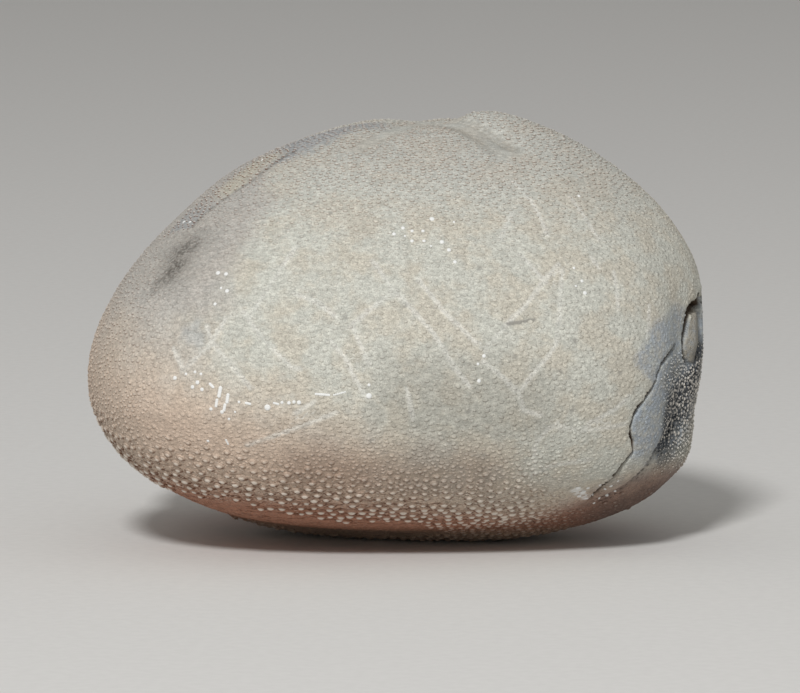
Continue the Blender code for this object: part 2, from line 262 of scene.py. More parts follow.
bodyShape = {
    "voxel": 0.48,
    "calmRounds": 12,  # rounds that take out the facets of the plain solid
    "knobRounds": 36,  # more of them where the plain solid has its few big knobs
    "knobHeights": (1.2, 13.5),
    "knobsEnd": 17.0,
    "bend": 2.6,  # both ends lean to the near side
    "half": 29.0,
    "apexX": 2.6,
    "petals": ((62, 13.0, 0.35), (139, 12.5, 0.75)),  # angle from the front, length and how clear it is
    "petalHalf": 2.4,  # kept free of knobs where a petal is clear
    "petalRidge": 0.14,
    "poreRows": (0.72, 1.42),
    "porePitch": 0.62,
    "poreDepth": 0.17,
    "poreFurrow": 0.05,
    "apexPores": ((0.55, 0.55), (0.55, -0.55), (-0.6, 0.7), (-0.6, -0.7)),
    "apexPoreDepth": 0.30,
    "grooveLong": 31.6,
    "grooveHalf": 2.1,  # at the apex
    "grooveWidening": 2.5,  # from there to the margin
    "grooveFurrows": (0.22, 0.40, 0.58, 0.76),  # as shares of the groove's half width
    "grooveFurrowDepth": 0.07,
    "rimDepth": 0.10,
    "vent": (-4.7, 20.9, 3.6, 3.2),  # middle across and up, half width and half height
    "ventLean": 0.45,
    "ventNarrowing": 0.6,
    "ventRim": 0.12,
    "ventRing": 0.35,
    "plugHeight": 0.45,
    "shieldSides": (-13.6, 5.0),  # of the coarse-grained shield under the vent, at its widest height
    "shieldWidest": 17.5,
    "shieldTaper": 0.45,
    "shieldHeights": (7.4, 19.6),
    "shieldMiddle": -3.5,
    "mouthX": -18.4,
    "mouthHalf": (1.6, 3.3),
    "mouthDepth": 0.70,
    "lipHeight": 0.18,
    "crackHalf": 0.13,
    "crackDepth": 0.50,
    "creaseHalf": 0.9,
    "creaseDepth": 0.60,
    "slitHalf": (0.60, 0.22),  # at its upper and lower end
    "slitDepth": 0.80,
    "footing": 0.20,  # the stone stands on the knobs of its flat spot
}


def sideways(points):
    # distance from the bent middle line, with the sign of the side
    return points[:, 1] + bodyShape["bend"] * (points[:, 0] / bodyShape["half"]) ** 2


def petalPlaces(points):
    # for each of the two pairs of petals: distance along from the apex, across it, 1 inside, how clear
    ahead, aside = bodyShape["apexX"] - points[:, 0], np.abs(sideways(points))
    for angle, length, clear in bodyShape["petals"]:
        angle = math.radians(angle)
        along = ahead * math.cos(angle) + aside * math.sin(angle)
        across = ahead * math.sin(angle) - aside * math.cos(angle)
        inside = smooth(1.6, 3.0, along) * smooth(length, length - 2.0, along) * (points[:, 2] > 22)
        yield along, across, inside, clear


def grooveHalf(points):
    reach = np.clip((bodyShape["apexX"] - points[:, 0]) / bodyShape["grooveLong"], 0.0, 1.0)
    return bodyShape["grooveHalf"] + bodyShape["grooveWidening"] * reach


def inGroove(points):
    # 1 in the front groove, from the apex over the margin to the mouth
    top = smooth(1.0, -2.5, points[:, 0]) * (points[:, 2] > 20)
    under = smooth(-15.0, -18.0, points[:, 0]) * (points[:, 2] <= 20)
    return (top + under) * smooth(1.15, 0.9, np.abs(sideways(points)) / grooveHalf(points))


def ventReach(points):
    # 1 at the rim of the rear opening, which leans and is narrow at its top
    y, z, wide, tall = bodyShape["vent"]
    above = (points[:, 2] - z) / tall
    wide = wide * (1 - bodyShape["ventNarrowing"] * np.clip((above + 1) / 2, 0, 0.95))
    across = points[:, 1] - y - bodyShape["ventLean"] * (points[:, 2] - z)
    return np.where(points[:, 0] > 20, np.hypot(across / wide, above), 9.0)


def apexReach(points):
    return np.where(points[:, 2] > 30, np.hypot(points[:, 0] - bodyShape["apexX"], sideways(points)), 99.0)


def mouthReach(points):
    # 1 at the edge of the mouth, which curves to the rear at its ends
    ahead = points[:, 0] - bodyShape["mouthX"] - 0.07 * sideways(points) ** 2
    halfLong, halfWide = bodyShape["mouthHalf"]
    return np.where(points[:, 2] < 9, np.hypot(ahead / halfLong, sideways(points) / halfWide), 9.0)


def grainField(points):
    # how far inside the coarse-grained shield, which has rounded ends and a ragged edge
    x, y, z = points.T
    near, far = bodyShape["shieldSides"]
    foot, top = bodyShape["shieldHeights"]
    taper = bodyShape["shieldTaper"] * (bodyShape["shieldWidest"] - z)
    rounding = (y - bodyShape["shieldMiddle"]) ** 2
    inside = np.minimum(y - near - taper, far - taper - y)
    inside = np.minimum(inside, np.minimum(top - z - 0.02 * rounding, z - foot - 0.03 * rounding))
    return np.where(x > 20, inside + 0.6 * swell(points, 1.8, 6.0), -9.0)


def granular(points):
    return smooth(-1.0, 1.0, grainField(points))


def draped(tree, line, step=0.15):
    # the line's points on the stone, close together
    dense = []
    for start, end in zip(line, line[1:]):
        count = max(1, int(np.linalg.norm(end - start) / step))
        dense += [start + (end - start) * share for share in np.linspace(0, 1, count, endpoint=False)]
    dense.append(line[-1])
    return np.array([np.array(tree.find_nearest(Vector(point))[0]) for point in dense])


def fromLines(points, lines):
    # for each point: the vector from the nearest line, its length, the way of the line and the distance along
    samples = np.concatenate(lines)
    ways = np.concatenate([np.gradient(line, axis=0) for line in lines])
    ways /= np.linalg.norm(ways, axis=1, keepdims=True)
    runs = np.concatenate([np.linspace(0, 1, len(line)) for line in lines])
    tree = KDTree(len(samples))
    for index, sample in enumerate(samples):
        tree.insert(Vector(sample), index)
    tree.balance()
    nearest = np.array([tree.find(Vector(point))[1] for point in points])
    gap = points - samples[nearest]
    slide = np.clip((gap * ways[nearest]).sum(1), -0.08, 0.08)
    gap -= slide[:, None] * ways[nearest]
    return gap, np.linalg.norm(gap, axis=1), ways[nearest], runs[nearest]


def roughBody():
    piece = bpy.data.objects.new("stone_body", test.data.copy())
    bpy.context.scene.collection.objects.link(piece)
    pick(piece)
    bpy.context.tool_settings.mesh_select_mode = (True, False, False)
    bpy.ops.object.mode_set(mode="EDIT")
    bpy.ops.mesh.select_all(action="SELECT")
    bpy.ops.mesh.remove_doubles(threshold=0.001 * mm)
    bpy.ops.object.mode_set(mode="OBJECT")
    applied(piece, "REMESH", mode="VOXEL", voxel_size=bodyShape["voxel"] * mm)
    bpy.ops.object.mode_set(mode="EDIT")
    bpy.ops.mesh.select_all(action="SELECT")
    for _ in range(bodyShape["calmRounds"]):
        bpy.ops.mesh.vertices_smooth(factor=0.6)
        bpy.ops.mesh.vertices_smooth(factor=-0.5)
    bpy.ops.object.mode_set(mode="OBJECT")
    middles = middlesOf(piece)
    foot, top = bodyShape["knobHeights"]
    knobby = (middles[:, 2] > foot) & (middles[:, 2] < top) & (middles[:, 0] < bodyShape["knobsEnd"])
    editFaces(piece, knobby & (mouthReach(middles) > 1.6))
    bpy.ops.mesh.vertices_smooth(factor=0.5, repeat=bodyShape["knobRounds"])
    bpy.ops.object.mode_set(mode="OBJECT")
    return piece


def refined(piece):
    # finer faces where there is fine relief
    middles = middlesOf(piece)
    fine = inGroove(middles) > 0.3
    for _, across, inside, _ in petalPlaces(middles):
        fine |= (inside > 0.05) & (np.abs(across) < 2.1)
    fine |= (ventReach(middles) < 1.35) | (apexReach(middles) < 2.6) | (mouthReach(middles) < 1.6)
    fine |= fromLines(middles, [crackLine])[1] < 0.9
    editFaces(piece, fine)
    bpy.ops.mesh.subdivide(number_cuts=2)
    bpy.ops.mesh.vertices_smooth(factor=0.5, repeat=3)
    bpy.ops.object.mode_set(mode="OBJECT")


def petalRelief(points):
    depth, dirtAndShade = np.zeros(len(points)), np.zeros(len(points))
    pitch = bodyShape["porePitch"]
    for along, across, inside, clear in petalPlaces(points):
        step = (along / pitch) % 1.0 - 0.5
        pores = sum(hump(np.hypot(step * pitch, np.abs(across) - row), 0.17) for row in bodyShape["poreRows"])
        first, last = bodyShape["poreRows"]
        furrow = hump(step * pitch, 0.14) * (np.abs(across) > first) * (np.abs(across) < last)
        ridge = bodyShape["petalRidge"] * hump(across, 0.45)
        sunk = bodyShape["poreDepth"] * pores + bodyShape["poreFurrow"] * furrow
        depth += clear * inside * (ridge - sunk)
        dirtAndShade += clear * inside * (0.55 * pores + 0.15 * furrow + 0.12 * hump(np.abs(across) - 1.1, 0.6))
    return depth, dirtAndShade


def grooveRelief(points):
    lines = np.abs(sideways(points)) / grooveHalf(points)
    inside = inGroove(points)
    furrows = sum(hump(lines - place, 0.045) for place in bodyShape["grooveFurrows"])
    return -bodyShape["grooveFurrowDepth"] * inside * furrows, 0.5 * inside * furrows


def ventRelief(points):
    reach = ventReach(points)
    y, _, wide, _ = bodyShape["vent"]
    farRim = smooth(-0.4, 0.6, (points[:, 1] - y) / wide)
    ring = bodyShape["ventRing"] * hump(reach - 0.93, 0.10) * farRim
    _, far, _, run = fromLines(points, [slitLine])
    wideTop, wideFoot = bodyShape["slitHalf"]
    half = wideTop + (wideFoot - wideTop) * run
    slit = smooth(half * 1.5, half * 0.7, far)
    plug = bodyShape["plugHeight"] * smooth(0.95, 0.4, reach)
    rim = bodyShape["ventRim"] * hump(reach - 1.18, 0.16)
    return plug + rim - ring - bodyShape["slitDepth"] * slit, np.maximum(slit, ring)


def apexRelief(points):
    # four pores round the middle
    ahead, aside = bodyShape["apexX"] - points[:, 0], sideways(points)
    near = apexReach(points) < 3
    depth, dirtAndShade = np.zeros(len(points)), np.zeros(len(points))
    for x, y in bodyShape["apexPores"]:
        pore = hump(np.hypot(ahead - x, aside - y), 0.22) * near
        depth -= bodyShape["apexPoreDepth"] * pore
        dirtAndShade += pore
    return depth, dirtAndShade


def rimRelief(points, normals):
    # the thin furrow along the near rim of the front groove, and the distance beyond it
    gap, far, way, run = fromLines(points, [rimLine])
    side = np.sign((gap * np.cross(way, normals)).sum(1)) * far
    ends = smooth(0.0, 0.12, run) * smooth(1.0, 0.85, run)
    return -bodyShape["rimDepth"] * hump(far, 0.2) * ends, np.where((far < 6) & (ends > 0), side, -99.0)


def crackRelief(points, normals):
    # depth, how open it is, and the distance behind the crack
    gap, far, way, run = fromLines(points, [crackLine])
    close = far < 20.0
    ragged = np.zeros(len(points))
    ragged[close] = swell(points[close], 0.8, 3.0)
    behind = np.zeros(len(points))
    side = np.cross(way, normals)
    behind[close] = -np.sign((gap * side).sum(1))[close]
    fade = smooth(0.0, 0.03, run) * smooth(0.98, 0.86, run)
    half = bodyShape["crackHalf"] * (1 + 0.8 * ragged) * (1 + 1.0 * hump(run - 0.74, 0.11))
    opened = smooth(half * 1.9, half * 0.4, far) * fade
    shoulder = (0.05 + 0.12 * hump(run - 0.76, 0.12)) * smooth(0.6, 0.1, far) * fade * (1 + 1.4 * ragged)
    ledge = 0.05 * smooth(0.0, 0.22, far) * hump(far, 2.2) * fade * (behind > 0)
    side = np.where(close, behind * far, -99.0)
    return -bodyShape["crackDepth"] * opened - shoulder - ledge, opened, side


def onStone(tree, lines):
    # lines given in pixels of the photo, as close points on the stone
    return [draped(tree, [atPixel(tree, *pixel) for pixel in pixels]) for pixels in lines]


def sutureLines(tree):
    # those of the photo, and the same ones on the far side
    near = onStone(tree, photoSutures)
    mirrored = []
    for line in near:
        other = line[::6].copy()
        other[:, 1] = -sideways(other) - bodyShape["bend"] * (other[:, 0] / bodyShape["half"]) ** 2
        mirrored.append(draped(tree, list(other)))
    return near + mirrored


print("body started")
body = roughBody()
bodyTree = treeOf(body)
crackLine, creaseLine, rimLine, slitLine = onStone(bodyTree, photoLines.values())
refined(body)
bodyPoints = pointsOf(body)
normalsOfBody = normalsOf(body)
crackDeep, crackDirtAndShade, crackSide = crackRelief(bodyPoints, normalsOfBody)
mouthOpen = smooth(1.05, 0.75, mouthReach(bodyPoints))
mouthLip = hump(mouthReach(bodyPoints) - 1.2, 0.18)
petalDeep, petalDirtAndShade = petalRelief(bodyPoints)
grooveDeep, grooveDirtAndShade = grooveRelief(bodyPoints)
ventDeep, ventShade = ventRelief(bodyPoints)
apexDeep, apexDirtAndShade = apexRelief(bodyPoints)
creaseFar = fromLines(bodyPoints, [creaseLine])[1]
creaseDeep = -bodyShape["creaseDepth"] * hump(creaseFar, bodyShape["creaseHalf"])
rimDeep, rimSide = rimRelief(bodyPoints, normalsOfBody)
relief = crackDeep + petalDeep + grooveDeep + ventDeep + apexDeep + creaseDeep + rimDeep
relief += bodyShape["lipHeight"] * mouthLip - bodyShape["mouthDepth"] * mouthOpen
raised = bodyPoints + normalsOfBody * relief[:, None]
raised[:, 2] = np.maximum(raised[:, 2], bodyShape["footing"])
setPoints(body, raised)
bpy.ops.object.shade_smooth()
# soil and painted shade in the pores, furrows, apex pores and mouth
note(body, "dirtAndShade", np.clip(petalDirtAndShade + grooveDirtAndShade + apexDirtAndShade + 1.3 * mouthOpen, 0, 1))
# painted shade in the vent's slit and ring, and soil with painted shade in the crack
note(body, "dark", np.clip(crackDirtAndShade + ventShade, 0, 1))
note(body, "granular", granular(bodyPoints))
note(body, "rim", rimSide)
note(body, "plug", smooth(1.02, 0.9, ventReach(bodyPoints)))
note(body, "behindCrack", crackSide)
note(body, "crease", creaseFar)
sutures = sutureLines(bodyTree)
sutureGap, sutureFar, _, _ = fromLines(bodyPoints, sutures)
note(body, "sutureGap", sutureGap)
note(body, "sutureFar", sutureFar)
print("body has", len(body.data.polygons), "faces")


# Materials


class Wire:
    # a socket, so that shader maths reads as plain sums
    def __init__(self, board, socket):
        self.board = board
        self.socket = socket

    def maths(self, operation, first, second):
        return self.board.node("ShaderNodeMath", {"operation": operation}, {0: first, 1: second})

    def __add__(self, other):
        return self.maths("ADD", self, other)

    def __radd__(self, other):
        return self.maths("ADD", other, self)

    def __sub__(self, other):
        return self.maths("SUBTRACT", self, other)

    def __rsub__(self, other):
        return self.maths("SUBTRACT", other, self)

    def __mul__(self, other):
        return self.maths("MULTIPLY", self, other)

    def __rmul__(self, other):
        return self.maths("MULTIPLY", other, self)


class Board:
    # the node tree of one material
    def __init__(self, name):
        self.material = bpy.data.materials.new(name)
        self.material.use_nodes = True
        self.tree = self.material.node_tree
        self.tree.nodes.clear()

    def node(self, kind, settings=None, sockets=None, out=0):
        made = self.tree.nodes.new(kind)
        for setting, value in (settings or {}).items():
            setattr(made, setting, value)
        for name, value in (sockets or {}).items():
            if isinstance(value, Wire):
                self.tree.links.new(value.socket, made.inputs[name])
            else:
                made.inputs[name].default_value = value
        return Wire(self, made.outputs[out]) if len(made.outputs) else None

    def vector(self, operation, first, second, out=0):
        return self.node("ShaderNodeVectorMath", {"operation": operation}, {0: first, 1: second}, out)

    def spread(self, value, low, high, toLow=0.0, toHigh=1.0):
        sockets = {"Value": value, "From Min": low, "From Max": high, "To Min": toLow, "To Max": toHigh}
        return self.node("ShaderNodeMapRange", {"interpolation_type": "SMOOTHSTEP"}, sockets)

    def blend(self, share, first, second, kind="MIX"):
        settings = {"data_type": "RGBA", "blend_type": kind}
        return self.node("ShaderNodeMix", settings, {0: share, 6: first, 7: second}, 2)

    def noise(self, place, scale, detail=2.0, rough=0.5):
        sockets = {"Vector": place, "Scale": scale, "Detail": detail, "Roughness": rough}
        return self.node("ShaderNodeTexNoise", {}, sockets)

    def cells(self, place, scale, feature="F1"):
        return self.node("ShaderNodeTexVoronoi", {"feature": feature}, {"Vector": place, "Scale": scale})

    def noted(self, name, out=2):
        return self.node("ShaderNodeAttribute", {"attribute_name": name}, {}, out)

    def place(self):
        # where a point is, in millimetres
        where = self.node("ShaderNodeTexCoord", {}, {}, 3)
        return self.node("ShaderNodeVectorMath", {"operation": "SCALE"}, {0: where, "Scale": 1 / mm})

    def finish(self, sockets):
        shader = self.node("ShaderNodeBsdfPrincipled", {}, sockets)
        self.node("ShaderNodeOutputMaterial", {}, {0: shader})
        return self.material

    def farFrom(self, place, start, end):
        # distance from a straight stretch, in millimetres
        way = np.array(end) - np.array(start)
        off = self.vector("SUBTRACT", place, tuple(start))
        share = self.vector("DOT_PRODUCT", off, tuple(way / (way @ way)), 1)
        share = self.node("ShaderNodeClamp", {}, {"Value": share})
        reach = self.node("ShaderNodeVectorMath", {"operation": "SCALE"}, {0: tuple(way), "Scale": share})
        return self.vector("LENGTH", self.vector("SUBTRACT", off, reach), (0, 0, 0), 1)


stoneColours = {
    "cream": (0.590, 0.590, 0.527),
    "warm": (0.585, 0.553, 0.470),
    "lilac": (0.455, 0.425, 0.395),
    "upper": (0.470, 0.465, 0.440),
    "tan": (0.640, 0.495, 0.390),
    "brown": (0.405, 0.185, 0.115),
    "shadeUmber": (0.130, 0.085, 0.070),
    "clay": (0.400, 0.300, 0.215),
    "shade": (0.330, 0.315, 0.270),
    "blueGrey": (0.320, 0.368, 0.425),
    "slate": (0.050, 0.055, 0.065),
    "stain": (0.120, 0.110, 0.095),
    "suture": (0.780, 0.775, 0.725),
    "soilAndShade": (0.230, 0.170, 0.115),
    "gap": (0.075, 0.050, 0.032),
    "blueTop": (0.330, 0.350, 0.375),
    "flank": (0.330, 0.345, 0.355),
    "yellow": (0.570, 0.530, 0.420),
    "spot": (0.230, 0.220, 0.200),
    "flake": (0.860, 0.870, 0.860),
    "foot": (0.150, 0.060, 0.028),
    "tip": (0.820, 0.770, 0.690),
    "plug": (0.400, 0.370, 0.310),
}


def colour(name):
    return (*stoneColours[name], 1.0)


def marked(board, paint, place, name, ragged, broken=1.0):
    # the paint with a mark of the photo on it
    start, end, raggedness, reach, soft, strength, tone = photoMarks[name]
    far = board.farFrom(place, atPixel(bodyTree, *start), atPixel(bodyTree, *end))
    share = board.spread(far + ragged * raggedness, reach + soft, reach)
    return board.blend(share * (broken * strength), paint, colour(tone))


def zoneValues(board, place):
    # where a point is, and the soft noises that the zones share
    at = SimpleNamespace(place=place)
    at.x = board.node("ShaderNodeSeparateXYZ", {}, {0: place})
    at.z = Wire(board, at.x.socket.node.outputs[2])
    at.cloud = board.noise(place, 0.30, 3.0, 0.6)
    at.fleck = board.noise(place, 1.3, 3.0, 0.65)
    at.drift = (board.noise(place, 0.11, 3.0) - 0.5) * 12
    at.ragged = (at.cloud - 0.5) * 5 + (at.fleck - 0.5) * 2
    return at


def upperPaint(board, at):
    # cream and warm grey, lilac-grey at the front and duller on top
    x, z, drift = at.x, at.z, at.drift
    paint = board.blend(board.spread(at.cloud, 0.40, 0.62), colour("cream"), colour("warm"))
    lilac = board.spread(0 - x - (33 - z) * 0.22 + drift, 9.5, 14.0) * board.spread(z + drift, 15, 24)
    paint = board.blend(lilac * 0.75, paint, colour("lilac"))
    upper = board.spread(z + drift * 0.5, 29.0, 39.0)
    return board.blend(upper * 0.45, paint, colour("upper"))


def lowerPaint(board, paint, at):
    # tan and brown towards the foot, partly the stone's colour and partly painted warm reflection; painted
    # shade in dark umber at its rear, and clay under it
    x, z, drift = at.x, at.z, at.drift
    tanShare = board.spread(z + x * 0.36 + drift * 0.6, 17.0, 5.5)
    paint = board.blend(tanShare * 0.9, paint, colour("tan"))
    foot = z + x * 0.10 + drift * 0.15 - board.spread(x, 12.0, 27.0, 0.0, 5.5)
    brownShare = board.spread(foot, 6.6, 3.2) * board.spread(x, 17.0, 23.0, 0.9, 0.6)
    paint = board.blend(brownShare * board.spread(z, 0.8, 2.2, 0.45, 1.0), paint, colour("brown"))
    # painted shade along the lower rear edge
    rearFootShade = board.spread(foot + at.ragged * 0.4, 6.4, 2.4) * board.spread(x + drift, 12.0, 22.0)
    paint = board.blend(rearFootShade * board.spread(z, 0.5, 2.5, 0.3, 0.9), paint, colour("shadeUmber"))
    clayShare = board.spread(z, 2.4, 0.6) * board.spread(at.cloud, 0.3, 0.6, 0.3, 0.7)
    paint = board.blend(clayShare, paint, colour("clay"))
    paint = marked(board, paint, at.place, "cheek", at.ragged)
    paint = marked(board, paint, at.place, "cheekLow", at.ragged)
    frontShare = board.spread(x + drift * 0.3, -19.0, -25.0) * board.spread(z + drift * 0.3, 25.0, 17.0)
    paint = board.blend(frontShare * 0.22, paint, colour("shade"))
    # thin wavy lines of painted shadow between the rows of knobs
    level = board.noise(board.vector("MULTIPLY", at.place, (0.7, 0.7, 1.0)), 0.9, 2.0, 0.6)
    line = board.node("ShaderNodeMath", {"operation": "PINGPONG"}, {0: z * 3.2 + level * 5.0, 1: 1.0})
    line = board.spread(line, 0.40, 0.10) * board.spread(at.fleck, 0.38, 0.56)
    rows = board.spread(foot + drift * 0.1, 9.0, 6.0) * board.spread(x, 17.0, 11.0)
    return board.blend(line * rows * board.spread(z, 1.5, 3.5) * 0.7, paint, colour("foot"))


def frontPaint(board, paint, at):
    # the flank of the front groove, yellowish above and blue-grey below, beyond a thin dark rim
    paint = marked(board, paint, at.place, "blueTop", at.ragged)
    beyond = board.noted("rim")
    flank = board.spread(beyond, 0.0, 0.3) * board.spread(beyond, 4.5, 3.5)
    paint = board.blend(flank * board.spread(at.z, 34.0, 31.0) * 0.6, paint, colour("flank"))
    paint = marked(board, paint, at.place, "yellow", at.ragged, flank)
    rimShade = board.spread(beyond, -0.5, -0.05) * board.spread(beyond, 0.5, 0.05)
    broken = board.spread(at.fleck, 0.36, 0.58, 0.15, 1.0)
    paint = board.blend(rimShade * broken * 0.5, paint, colour("stain"))
    # painted shade along the rear petal, and the stain, broken up by fine pale grains
    pitted = broken * board.spread(board.noise(at.place, 3.4, 2.0, 0.6), 0.40, 0.56, 0.25, 1.0)
    paint = marked(board, paint, at.place, "petalShade", at.ragged, broken)
    paint = marked(board, paint, at.place, "stainTail", at.ragged, pitted)
    paint = marked(board, paint, at.place, "stainHaze", at.ragged)
    paint = marked(board, paint, at.place, "stainEdge", at.ragged)
    return marked(board, paint, at.place, "stain", at.ragged, pitted)


def rearPaint(board, paint, at):
    # blue-grey rear piece behind the crack, darkest on its coarse-grained field
    behind = board.noted("behindCrack")
    up = at.z + (at.cloud - 0.5) * 5
    rear = board.spread(behind, 0.0, 0.3) * board.spread(behind, 13.0, 8.0)
    rear = rear * board.spread(up, 8.2, 10.5) * board.spread(up, 26.0, 21.0)
    edge = behind + (at.cloud - 0.5) * 2 + board.spread(up, 20.0, 15.5, 0.0, -4.0)
    haze = board.spread(edge, -4.2, -2.9) * board.spread(up, 26.0, 22.5) * board.spread(behind, 0.3, 0.0)
    speckled = board.spread(at.fleck, 0.36, 0.62, 0.45, 1.0)
    paint = board.blend((rear * 0.85 + haze * 0.75) * speckled, paint, colour("blueGrey"))
    dark = behind + (at.fleck - 0.5) * 3
    dark = board.spread(dark, 3.4, 5.0) * board.spread(dark, 10.5, 7.5)
    field = board.noted("granular") * board.spread(up, 8.0, 12.5, 0.6, 1.0)
    paint = board.blend(field * (dark * 0.50 + 0.30), paint, colour("slate"))
    # painted shade along the crease
    crease = board.noted("crease") + (at.fleck - 0.5) * 0.3
    creaseShare = board.spread(crease, 1.3, 0.2) * 0.45 + board.spread(crease, 0.45, 0.1) * 0.4
    return board.blend(creaseShare, paint, colour("slate"))


def jointPaint(board, paint, at):
    # pale joints between the plates
    gap = board.vector("LENGTH", board.noted("sutureGap", 1), (0, 0, 0), 1)
    joint = board.spread(gap + (at.fleck - 0.5) * 0.30, 0.40, 0.05)
    joint = joint * board.spread(board.noted("sutureFar"), 0.9, 0.5)
    return board.blend(joint * board.spread(at.cloud, 0.35, 0.55, 0.20, 0.50), paint, colour("suture"))


def zonePaint(board, place):
    # the colours of the test, and the two fine patterns that its mottling is drawn with
    at = zoneValues(board, place)
    paint = lowerPaint(board, upperPaint(board, at), at)
    paint = rearPaint(board, frontPaint(board, paint, at), at)
    paint = jointPaint(board, paint, at)
    drawn = board.vector("MULTIPLY", place, (0.5, 1, 1))  # drawn out a little along the test
    grain = board.cells(drawn, 2.9)
    fine = board.noise(drawn, 5.2, 3.0, 0.7)
    dust = board.noise(place, 9.0, 1.0)
    mottle = board.spread(fine, 0.25, 0.75, 0.84, 1.12) * board.spread(grain, 0.2, 0.75, 1.03, 0.87)
    mottle = mottle * board.spread(at.fleck, 0.3, 0.7, 0.93, 1.05) * board.spread(dust, 0.3, 0.7, 0.85, 1.14)
    grey = board.node("ShaderNodeCombineColor", {}, {0: mottle, 1: mottle, 2: mottle})
    return board.blend(1.0, paint, grey, "MULTIPLY"), grain, fine


def stoneMaterial():
    board = Board("fossil_stone")
    place = board.place()
    paint, grain, fine = zonePaint(board, place)
    wobble = (board.noise(place, 2.2, 2.0) - 0.5) * 0.16
    paint = marked(board, paint, place, "chip", wobble)
    crumbs = board.noise(place, 1.9, 3.0, 0.75)
    plug = board.noted("plug")
    paint = board.blend(plug * board.spread(crumbs, 0.35, 0.62, 0.35, 0.95), paint, colour("plug"))
    # soil and painted shade in the hollows, and dark specks
    paint = board.blend(board.noted("dirtAndShade") * 0.6, paint, colour("soilAndShade"))
    paint = marked(board, paint, place, "stroke", wobble)
    for pixel in photoSpots:
        far = board.vector("DISTANCE", place, tuple(atPixel(bodyTree, *pixel)), 1)
        paint = board.blend(board.spread(far + wobble, 0.42, 0.10) * 0.55, paint, colour("spot"))
    # painted shade in the vent's slit and ring; soil and painted shade in the crack
    paint = board.blend(board.spread(board.noted("dark"), 0.15, 0.75), paint, colour("gap"))
    height = board.spread(grain, 0.15, 0.7, 0.02, 0.0) + fine * 0.045 + plug * crumbs * 0.5
    bump = board.node("ShaderNodeBump", {}, {"Strength": 1.0, "Distance": mm, "Height": height})
    sockets = {"Base Color": paint, "Roughness": board.spread(fine, 0.3, 0.7, 0.78, 0.92), "Normal": bump}
    sockets["Specular IOR Level"] = 0.25
    return board.finish(sockets)


def knobMaterial():
    board = Board("knob_calcite")
    paint, _, fine = zonePaint(board, board.place())
    tip, foot, pale = board.noted("tip"), board.noted("foot"), board.noted("pale")
    # painted shadow on the lower side of each knob
    soilAndShade = board.spread(tip, 0.90, 0.50) * foot * board.spread(board.noted("under"), 0.45, 0.80, 0.15, 1.0)
    paint = board.blend(soilAndShade, paint, colour("foot"))
    # paler crowns: painted highlight on the tops of the knobs and grains, and the pale colour of some rear
    # granules
    paint = board.blend(board.spread(tip, 0.45, 0.9) * pale, paint, colour("tip"))
    paint = board.blend(board.noted("worn"), paint, colour("flake"))
    bump = board.node("ShaderNodeBump", {}, {"Strength": 1.0, "Distance": mm, "Height": fine * 0.04})
    sockets = {"Base Color": paint, "Roughness": board.spread(tip, 0.0, 1.0, 0.88, 0.72), "Normal": bump}
    sockets["Specular IOR Level"] = 0.25
    return board.finish(sockets)


def floorMaterial():
    board = Board("pale_table")
    fine = board.noise(board.place(), 0.9, 2.0)
    paint = board.blend(board.spread(fine, 0.2, 0.8), (0.72, 0.71, 0.69, 1), (0.75, 0.74, 0.72, 1))
    return board.finish({"Base Color": paint, "Roughness": 0.9})


stoneFinish = stoneMaterial()
knobFinish = knobMaterial()
body.data.materials.clear()
body.data.materials.append(stoneFinish)
print("materials made")


# Knobs

knobLook = {
    "seed": 11,
    "radius": (0.24, 0.60),  # of a knob with its foot, from the smallest to the largest
    "height": (0.09, 0.30),
    "spacing": (0.98, 1.24),  # towards the rear and the front
    "wide": 1.15,  # drawn out along the test
    "rounds": 6,  # of pushing each other apart
    "missing": 0.06,
    # sides, the inset and rise of each step, and the crown
    "shape": (8, ((0.28, 0.12), (0.20, 0.50), (0.16, 0.30)), 0.06),
}
grainLook = {
    "seed": 12,
    "radius": 0.16,
    "height": (0.020, 0.095),
    "spacing": 0.53,
    "wide": 1.5,
    "rounds": 5,
    "shape": (6, ((0.45, 0.75),), 0.25),
}
granuleLook = {
    "seed": 4,
    "radius": 0.24,
    "height": 0.22,
    "spacing": 0.42,
    "wide": 1.0,
    "rounds": 2,
    "shape": (6, ((0.30, 0.55), (0.28, 0.30)), 0.12),
}
speckLook = {
    "seed": 5,
    "height": 0.4,  # as a share of the radius
    "worn": 0.85,
    "shape": (8, ((0.25, 0.6), (0.3, 0.2)), 0.12),
}


def knobSize(points):
    # 0 where only fine grains grow, and up to 1 for the largest knobs along the lower front margin,
    # where they also grow higher up
    x, _, z = points.T
    margin = 4.5 + 3.5 * smooth(5.0, -24.0, x) + 3.0 * smooth(-22.0, -28.0, x)
    size = smooth(margin + 7.0, margin - 0.5, z) ** 1.3 * (1 - 0.85 * smooth(12.0, 19.0, x))
    return size * (0.45 + 0.55 * smooth(1.5, 4.0, z))


def knobSpacing(points):
    rear, front = knobLook["spacing"]
    return rear + (front - rear) * smooth(2.0, -14.0, points[:, 0])


def knobShare(points):
    return (knobSize(points) > 0.08).astype(float)


def grainSpacing(points):
    return np.full(len(points), grainLook["spacing"])


def granuleSpacing(points):
    return np.full(len(points), granuleLook["spacing"])


def bareness(points):
    # 1 where no knobs grow
    bare = granular(points) > 0.3
    for _, across, inside, clear in petalPlaces(points):
        bare |= (inside > 0.1) & (np.abs(across) < bodyShape["petalHalf"] * clear)
    bare |= (ventReach(points) < 1.1) | (mouthReach(points) < 1.25) | (apexReach(points) < 1.6)
    return bare | (fromLines(points, [crackLine])[1] < 0.35) | (fromLines(points, [slitLine])[1] < 0.6)


bandLook = {
    "fieldHalf": 4.6,  # of the narrow knobbly field between the bands, behind the mouth
    "fieldWidening": 6.5,  # from there to the rear
    "top": 3.5,
    "frontRise": 2.2,
    "ragged": 0.7,
}


